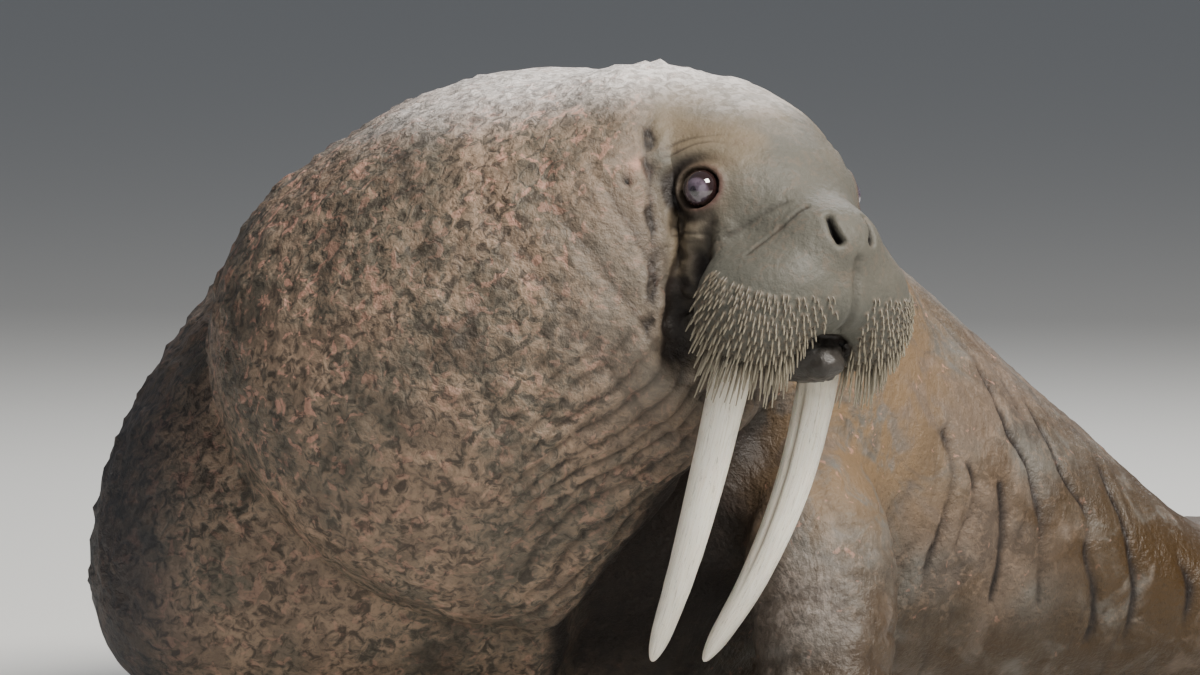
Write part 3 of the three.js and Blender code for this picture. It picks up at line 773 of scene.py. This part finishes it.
# The hide is grey-brown, mottled with tan and pink over the lumpy neck, olive grey on the muzzle,
# and dark and wet where it lies low. Painted shade makes its creases and eye sockets nearly black.
COAT_BROWN = (0.110, 0.080, 0.058)
COAT_DARK = (0.036, 0.027, 0.021)
COAT_TAN = (0.262, 0.183, 0.127)
COAT_GREEN = (0.088, 0.079, 0.060)
CALM_TAN = (0.165, 0.130, 0.098)
SCAR_PINK = (0.460, 0.245, 0.180)
PALE_AND_HIGHLIGHT = (0.620, 0.585, 0.560)
FLANK_GREY = (0.104, 0.096, 0.083)
FLANK_OCHRE = (0.140, 0.092, 0.050)
WET_BROWN = (0.036, 0.018, 0.003)
MUZZLE_GREY = (0.070, 0.070, 0.058)
FOREHEAD_TAN = (0.138, 0.106, 0.067)
LIP_DARK = (0.022, 0.019, 0.017)
LID_BROWN = (0.080, 0.040, 0.034)
FOLD_SHADE = (0.008, 0.005, 0.004)
HOLE_SHADE = (0.003, 0.002, 0.002)
SHADE = (0.016, 0.019, 0.026)
skin = Finish("walrus_hide", Specular_IOR_Level=0.30, Coat_Roughness=0.22)
rough_coat, face, folded = (skin.painted(name) for name in ("rough", "face", "crease_shade"))
broad = skin.noise(5.5, 3, 0.55)
patch = skin.noise(9, 3, 0.6, 0.5)
dirt = skin.noise(15, 4, 0.6, 0.8)
fleck = skin.noise(58, 2, 0.5, 1.1)
curl = skin.noise(78, 3, 0.6, 0.9)
speck = skin.noise(190, 3, 0.6, 0.6)

# The trunk's coat, and over it the mottled coat of the neck.
coat = skin.mix(broad.between(0.42, 0.60), COAT_BROWN, FLANK_GREY)
coat = skin.mix(dirt.between(0.46, 0.64) * 0.60, coat, COAT_DARK)
coat = skin.mix((1 - patch.between(0.36, 0.52)) * 0.55, coat, WET_BROWN)
coat = skin.mix(curl.between(0.52, 0.66) * 0.25, coat, COAT_TAN)
coat = skin.mix(skin.painted("ochre") * dirt.between(0.38, 0.54), coat, FLANK_OCHRE)
coat = skin.mix(fleck.between(0.67, 0.73) * 0.40, coat, SCAR_PINK)
mottled = skin.mix(patch.between(0.40, 0.60), COAT_GREEN, COAT_BROWN)
mottled = skin.mix(curl.between(0.40, 0.62) * (0.25 + dirt.between(0.35, 0.65) * 0.75), mottled, COAT_TAN)
mottled = skin.mix(fleck.between(0.57, 0.65) * skin.painted("rosy") * 0.70, mottled, SCAR_PINK)
mottled = skin.mix((1 - curl.between(0.36, 0.47)) * 0.68, mottled, COAT_DARK)
mottled = skin.mix(speck.between(0.55, 0.70) * 0.40, mottled, COAT_DARK)
mottled = skin.mix((1 - patch.between(0.32, 0.48)) * 0.60, mottled, COAT_DARK)
coat = skin.mix(rough_coat, coat, mottled)
coat = skin.mix(skin.painted("calm") * 0.50, coat, CALM_TAN)

# The greyer face, and what lies over both: pale dry skin with a painted highlight on the tops,
# painted shade on the far neck, wet skin, bare ear, lids and lip, painted shade in sockets, creases, holes.
grey_face = skin.mix(skin.painted("tan") * broad.between(0.40, 0.58), MUZZLE_GREY, FOREHEAD_TAN)
grey_face = skin.mix(curl.between(0.50, 0.66) * 0.35, grey_face, COAT_BROWN)
coat = skin.mix(face * 0.85, coat, grey_face)
coat = skin.mix(skin.painted("pad") * 0.75, coat, MUZZLE_GREY)
# Pale dry skin with a painted highlight on the tops and the elbow.
coat = skin.mix(skin.painted("dry_and_highlit") * (0.42 + curl.between(0.40, 0.62) * 0.55), coat, PALE_AND_HIGHLIGHT)
coat = skin.mix(skin.painted("shaded") * 0.75, coat, SHADE)
soaked = skin.painted("wet") * dirt.between(0.30, 0.50)
coat = skin.mix(soaked * 0.95, coat, WET_BROWN)
# The socket's dark is painted shade in the furrow behind and below the eye.
for name, share, colour in (
    ("flipper", 0.35, COAT_DARK),
    ("ear", 0.75, SCAR_PINK),
    ("lids", 0.85, LID_BROWN),
    ("lip", 0.90, LIP_DARK),
    ("socket", 0.92, FOLD_SHADE),
    ("roots", 0.45, COAT_TAN),
):
    coat = skin.mix(skin.painted(name) * share, coat, colour)
# Creases are painted nearly black, as painted shade in their hollows.
coat = skin.mix(folded.between(0.05, 0.80) * 0.96, coat, FOLD_SHADE)
# The cut beside the arm is painted nearly black: painted shade between throat and arm.
coat = skin.mix(skin.painted("gap") * 0.95, coat, FOLD_SHADE)
# The eye's cup, the nostrils and the ear holes are painted black as shade.
coat = skin.mix(skin.painted("hole_shade"), coat, HOLE_SHADE)
skin.set(Base_Color=coat)
grain = skin.pebbles(150) * 0.5 + skin.noise(420, 2) * 0.35 + skin.noise(60, 4, 0.65) * 0.8
pebbled = skin.pebbles(60) * 1.2 + curl * 0.9
lie = skin.stretch(skin.painted("lie", "Vector"), (120, 26, 1))
drawn = skin.noise(1, 4, 0.6, 0.4, lie) * (1 - skin.painted("flipper")) * 0.6
height = grain + pebbled * rough_coat + drawn * (1 - face) * (1 - rough_coat * 0.6)
skin.bump(height * (1 - face * 0.45), 0.0035, 0.8)
skin.set(Roughness=0.66 - soaked * 0.14 - skin.noise(22, 3) * 0.16 - skin.painted("lip") * 0.16)
skin.set(Coat_Weight=soaked * 0.06)
hide.data.materials.clear()
hide.data.materials.append(skin.material)
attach(hide, "root")
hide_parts("head", "pad_left", "pad_right", "chin", "neck", "torso", "tail", *LIMBS)

# The eyes are dark, glossy balls with a clouded iris behind a wet, slightly bulging cornea.
# The white of the eye hardly shows. The left one, which faces away, sits deeper.
EYE_RADIUS = 0.021
EYE_SINK = {"left": 0.006, "right": 0}
CORNEA_SWELL, CORNEA_WIDTH = 0.045, 0.42
# The iris's violet and its clouds are partly its own colour and partly a painted reflection of the sky.
PUPIL_BLACK, IRIS_AND_SKY_VIOLET = (0.010, 0.007, 0.010), (0.060, 0.044, 0.060)
IRIS_AND_SKY_CLOUD, EYE_WHITE = (0.120, 0.092, 0.122), (0.016, 0.008, 0.008)


def finished(bm, name, finish):
    """A finished piece: the mesh that was shaped, smooth, in one finish."""
    mesh = bpy.data.meshes.new(name)
    bm.to_mesh(mesh)
    bm.free()
    mesh.materials.append(finish.material)
    for face in mesh.polygons:
        face.use_smooth = True
    piece = bpy.data.objects.new(name, mesh)
    bpy.context.scene.collection.objects.link(piece)
    return piece


wet_eye = Finish("wet_eye", Roughness=0.05, Coat_Weight=1.0, Coat_Roughness=0.03)
from_pupil = wet_eye.painted("from_pupil")
clouds = wet_eye.noise(110, 2, 0.5, 0.3)
ball_colour = wet_eye.mix(from_pupil.between(0.20, 0.36), PUPIL_BLACK, IRIS_AND_SKY_VIOLET)
ball_colour = wet_eye.mix(clouds.between(0.45, 0.60) * 0.5, ball_colour, IRIS_AND_SKY_CLOUD)
ball_colour = wet_eye.mix(from_pupil.between(0.58, 0.84), ball_colour, EYE_WHITE)
wet_eye.set(Base_Color=ball_colour)
for side, way in (("left", 1), ("right", -1)):
    bm = bmesh.new()
    bmesh.ops.create_icosphere(bm, subdivisions=5, radius=EYE_RADIUS)
    centre = from_head((EYE_AT - (0, EYE_SINK[side], 0)) * (1, way, 1))
    gaze = Vector(np.array((0.52, 0.85 * way, 0.06)) @ head_axes).normalized()
    far = bm.verts.layers.float.new("from_pupil")
    for v in bm.verts:
        turn = v.co.angle(gaze)
        v[far] = turn
        v.co *= 1 + CORNEA_SWELL * math.exp(-((turn / CORNEA_WIDTH) ** 2))
        v.co += Vector(centre)
    ball = finished(bm, "eye_ball_" + side, wet_eye)
    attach(ball, "root")
    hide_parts("eye_" + side)

# The tusks are ivory: long upper teeth, oval in section, finely cracked along their length,
# with a shallow groove and a stained, roughened root where the gum holds them.
TUSK = [
    ((0.098, 0.057, -0.110), (0.023, 0.026, 0.026)),
    ((0.112, 0.061, -0.190), (0.021, 0.024, 0.024)),
    ((0.118, 0.060, -0.300), (0.019, 0.021, 0.021)),
    ((0.108, 0.051, -0.412), (0.015, 0.017, 0.017)),
    ((0.082, 0.036, -0.526), (0.009, 0.010, 0.010)),
]
TUSK_LENGTH = 0.425
GROOVE = {"left": 0.25, "right": -2.2}
IVORY_WHITE, IVORY_CREAM, ROOT_STAIN = (0.930, 0.890, 0.790), (0.760, 0.670, 0.500), (0.330, 0.290, 0.220)
CRACK_BROWN, GROOVE_BROWN = (0.200, 0.150, 0.090), (0.150, 0.110, 0.065)
ivory = Finish("tusk_ivory", Subsurface_Weight=0.08, Subsurface_Scale=0.004)
length, round_it = ivory.painted("down_tusk"), ivory.painted("round_tusk", "Vector")
streak = ivory.noise(1, 4, 0.65, 0.3, ivory.stretch(round_it, (26, 26, 2.4)))
crack = ivory.noise(1, 2, 0.5, 0.6, ivory.stretch(round_it, (9, 9, 1.6))) - 0.5
stained = (1 - length.between(0.10, 0.30)) * (0.35 + ivory.noise(60, 4, 0.6) * 0.6)
hair_cracks = (1 - crack.between(0.0, 0.012)) * crack.between(-0.012, 0.0) * 0.6
tooth = ivory.mix(streak.between(0.42, 0.66) * 0.55, IVORY_WHITE, IVORY_CREAM)
tooth = ivory.mix(stained, tooth, ROOT_STAIN)
tooth = ivory.mix(hair_cracks, tooth, CRACK_BROWN)
tooth = ivory.mix(ivory.painted("groove") * 0.92, tooth, GROOVE_BROWN)
ivory.set(Base_Color=tooth, Roughness=0.26 + streak * 0.18)
ivory.bump(streak * 0.6 - hair_cracks * 0.8 + ivory.noise(500, 2) * 0.15, 0.0012, 0.7)
for side, way in (("left", 1), ("right", -1)):
    bm = bmesh.new()
    limb(bm, TUSK, 48, 90, (0.08, 0.10), lift=(1, 0, 0))
    q = places(bm)
    along, turn_round, _, thick = from_form(q, TUSK, (1, 0, 0))
    middle = through([at for at, _ in TUSK], along / TUSK_LENGTH)
    pull = bell(turn_round, GROOVE[side], 0.10) * soft(along, 0.04, 0.10) * soft(along, 0.36, 0.26)
    ripple = 0.010 * mottle(q * (1, 1, 0.3), 0.006, 61)
    ripple += 0.05 * soft(along, 0.07, 0.02) * mottle(q, 0.012, 62)
    q = q + (q - middle) * ((ripple - 0.10 * pull) * soft(thick, 0.002, 0.01))[:, None]
    down = bm.verts.layers.float.new("down_tusk")
    groove = bm.verts.layers.float.new("groove")
    around = bm.verts.layers.float_vector.new("round_tusk")
    for v, place, run, turn, cut in zip(bm.verts, from_head(q * (1, way, 1)), along, turn_round, pull):
        v.co = place
        v[down] = run / TUSK_LENGTH
        v[groove] = cut
        v[around] = (math.cos(turn), math.sin(turn), run * 10)
    if way < 0:
        bmesh.ops.reverse_faces(bm, faces=bm.faces)
    tusk_piece = finished(bm, "tusk_ivory_" + side, ivory)
    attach(tusk_piece, "root")
    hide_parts("tusk_" + side)

# The bristles are stiff, straw-coloured quills, each rooted in the pad, bent down and thinning
# to its tip: short above and in front, long at the pad's lower and outer rim.
QUILL_ROOT, QUILL_STRAW, QUILL_GREY = (0.062, 0.054, 0.040), (0.255, 0.225, 0.165), (0.160, 0.130, 0.085)
ROOTED = 0.006
quill = Finish("whisker_quill", Roughness=0.42)
# Dark at the root and straw towards the tip; the lower rows' paler tips are painted light on the lit rim.
straw = quill.mix(quill.painted("paler_tip_and_lit_rim").between(0.0, 0.5), QUILL_ROOT, QUILL_STRAW)
quill.set(Base_Color=quill.mix(quill.noise(90, 2).between(0.4, 0.7) * 0.5, straw, QUILL_GREY))
skin_faces = [f.vertices for f in hide.data.polygons]
hide_skin = BVHTree.FromPolygons([v.co for v in hide.data.vertices], skin_faces)
quill_form = bmesh.new()
bmesh.ops.create_cone(quill_form, segments=6, radius1=1, radius2=1, depth=1, cap_ends=True)
long_edges = [e for e in quill_form.edges if abs(e.verts[0].co.z - e.verts[1].co.z) > 0.5]
bmesh.ops.subdivide_edges(quill_form, edges=long_edges, cuts=4)
bmesh.ops.translate(quill_form, verts=quill_form.verts, vec=(0, 0, 0.5))
quill_mesh = bpy.data.meshes.new("quill_form")
quill_form.to_mesh(quill_mesh)
quill_form.free()
shape = np.array([v.co for v in quill_mesh.vertices])
for side, way in (("left", 1), ("right", -1)):
    bm = bmesh.new()
    tip_share = bm.verts.layers.float.new("paler_tip_and_lit_rim")
    for root, faces_way, down, outer, luck in bristle_roots:
        if root[1] * way < 0:
            continue
        found = hide_skin.find_nearest(Vector(from_head(root)))[0]
        length = 0.0052 + 0.005 * down**1.5 + 0.018 * down**5 + 0.005 * outer**3 * down
        length *= 0.85 + 0.30 * luck
        thick = 0.00130 + 0.00030 * down
        leans = faces_way * 0.55 + np.array((0.26, 0, -0.66)) + 0.05 * picks.uniform(-1, 1, 3)
        leans /= np.linalg.norm(leans)
        sag = np.array((-0.06, 0, -0.42)) + 0.06 * picks.uniform(-1, 1, 3)
        side_way = np.cross(leans, (0, 0, 1))
        side_way /= np.linalg.norm(side_way)
        other_way = np.cross(side_way, leans)
        run = shape[:, 2] * (length + ROOTED) - ROOTED
        bend = np.clip(run / length, 0, 1)
        taper = thick * (1 - 0.60 * bend**2)
        q = leans * run[:, None] + sag * (length * bend**2)[:, None]
        q += side_way * (shape[:, 0] * taper)[:, None] + other_way * (shape[:, 1] * taper)[:, None]
        start = len(bm.verts)
        bm.from_mesh(quill_mesh)
        bm.verts.ensure_lookup_table()
        for v, point, share in zip(bm.verts[start:], q @ head_axes + np.array(found), bend):
            v.co = point
            # The tips of the lower rows are paler still: painted light on the lit rim of the pad.
            v[tip_share] = share * (0.40 + 0.60 * down)
    bmesh.ops.recalc_face_normals(bm, faces=bm.faces)
    whiskers = finished(bm, "whiskers_" + side, quill)
    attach(whiskers, "root")
    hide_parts("pad_" + side)

# Each digit carries a small, blunt claw of dark horn on top, a little short of its tip. It is
# a cone with a rounded rim, flattened and bent down a little, and it sits in the hide.
CLAW_LENGTH, CLAW_THICK, CLAW_TIP, CLAW_RIM = 0.022, 0.0062, 0.0026, 0.0014
CLAW_FLAT, CLAW_LIFT, CLAW_BEND, SHORT_OF_TIP = 0.62, 0.0012, 9.0, 0.030
HORN_DARK, HORN_BROWN = (0.050, 0.034, 0.022), (0.200, 0.150, 0.095)
HAND_REACH, FOOT_REACH = (0.285, 0.318, 0.322, 0.306, 0.262), (0.290, 0.238, 0.222, 0.232, 0.282)
ANKLE, BACKWARD = Vector((1.242, 0.628, 0)), Vector((0.915, 0.403, 0))
horn = Finish("claw_horn", Roughness=0.38)
ridges = horn.noise(1, 3, 0.6, 0.2, horn.stretch(horn.place, (700, 160, 160)))
horn.set(Base_Color=horn.mix(ridges.between(0.35, 0.65), HORN_DARK, HORN_BROWN))
horn.bump(ridges, 0.0008, 0.6)
paws = {}
for name, wrist, aim in (
    ("flipper_front_left", (0.280, -0.338, 0), (0.16, -0.99, 0)),
    ("flipper_front_right", (-0.188, 0.516, 0), (0.06, 0.99, 0)),
):
    aim = Vector(aim)
    paws[name] = (Vector(wrist) - 0.080 * aim, aim, 0.092, HAND_REACH, 1.0)
for name, way in (("flipper_hind_left", 1), ("flipper_hind_right", -1)):
    apart = way * Vector((BACKWARD.y, -BACKWARD.x, 0))
    aim = (BACKWARD + 0.28 * apart).normalized()
    paws[name] = (ANKLE + 0.062 * apart + 0.110 * aim, aim, 0.088, FOOT_REACH[::way], 0.9)
for name, (start, aim, spread, reaches, scale) in paws.items():
    bm = bmesh.new()
    aim = aim.normalized()
    across = Vector((-aim.y, aim.x, 0))
    turned = Matrix((aim, across, (0, 0, 1))).transposed()
    for digit, reach in enumerate(reaches):
        at = start + across * (digit / 2 - 1) * spread + aim * (reach - SHORT_OF_TIP)
        top = hide_skin.find_nearest(Vector((at.x, at.y, 0.030)))[0]
        claw = bmesh.ops.create_cone(
            bm, segments=12, radius1=CLAW_THICK, radius2=CLAW_TIP, depth=CLAW_LENGTH, cap_ends=True
        )["verts"]
        closed = [e for e in bm.edges if e.verts[0] in claw and len(e.link_faces) == 2]
        rim = [e for e in closed if max(len(f.verts) for f in e.link_faces) > 4]
        made = bmesh.ops.bevel(
            bm, geom=rim, offset=CLAW_RIM, segments=2, profile=0.5, affect="EDGES", material=-1
        )
        for v in [v for v in bm.verts if v in claw or v in made["verts"]]:
            x, y, z = v.co.z, v.co.x, v.co.y * CLAW_FLAT
            v.co = Vector(top) + turned @ (Vector((x, y, z + CLAW_LIFT - CLAW_BEND * x * x)) * scale)
    bmesh.ops.recalc_face_normals(bm, faces=bm.faces)
    claws = finished(bm, "claws_" + name, horn)
    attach(claws, "root")
    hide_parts(name)

# The floor is plain and pale, and reaches far behind the animal. Soft studio light falls on it
# from above and to the right, with a weak fill in front and a rim light behind.
pale = Finish("studio_floor", Base_Color=(0.60, 0.60, 0.58), Roughness=0.85)
bm = bmesh.new()
bmesh.ops.create_grid(bm, x_segments=1, y_segments=1, size=40)
floor = finished(bm, "floor", pale)

LIT_SPOT = Vector((0.1, -0.2, 0.4))
for name, place, size, power, colour in (
    ("key", (2.6, -2.9, 4.7), 2.0, 780, (1.0, 0.95, 0.88)),
    ("fill", (0.6, -5.5, 1.8), 3.5, 32, (0.94, 0.97, 1.0)),
    ("rim", (0.8, 3.6, 3.8), 2.5, 170, (1.0, 1.0, 1.0)),
):
    lamp = bpy.data.lights.new(name, "AREA")
    lamp.size, lamp.energy, lamp.color = size, power, colour
    lamp_object = bpy.data.objects.new(name, lamp)
    lamp_object.location = place
    lamp_object.rotation_euler = (LIT_SPOT - Vector(place)).to_track_quat("-Z", "Y").to_euler()
    bpy.context.scene.collection.objects.link(lamp_object)
world = bpy.data.worlds.new("studio")
world.use_nodes = True
sky = world.node_tree.nodes["Background"].inputs
sky["Color"].default_value = (0.85, 0.90, 1.0, 1)
sky["Strength"].default_value = 0.20
bpy.context.scene.world = world

# The camera looks from the animal's front right, a little above, from ten metres off, through
# a long lens.
LOOK_AT, DISTANCE, RISE = Vector((0.030, -0.500, 0.48675)), 10.0, math.radians(4)
SENSOR, VIEW_WIDTH = 36, 1.32
view = bpy.data.cameras.new("view")
view.sensor_width = SENSOR
view.lens = SENSOR * DISTANCE / VIEW_WIDTH
view.clip_end = 60
camera = bpy.data.objects.new("view", view)
toward = Vector((0, -math.cos(RISE), math.sin(RISE)))
camera.location = LOOK_AT + toward * DISTANCE
camera.rotation_euler = (-toward).to_track_quat("-Z", "Y").to_euler()
bpy.context.scene.collection.objects.link(camera)
bpy.context.scene.camera = camera
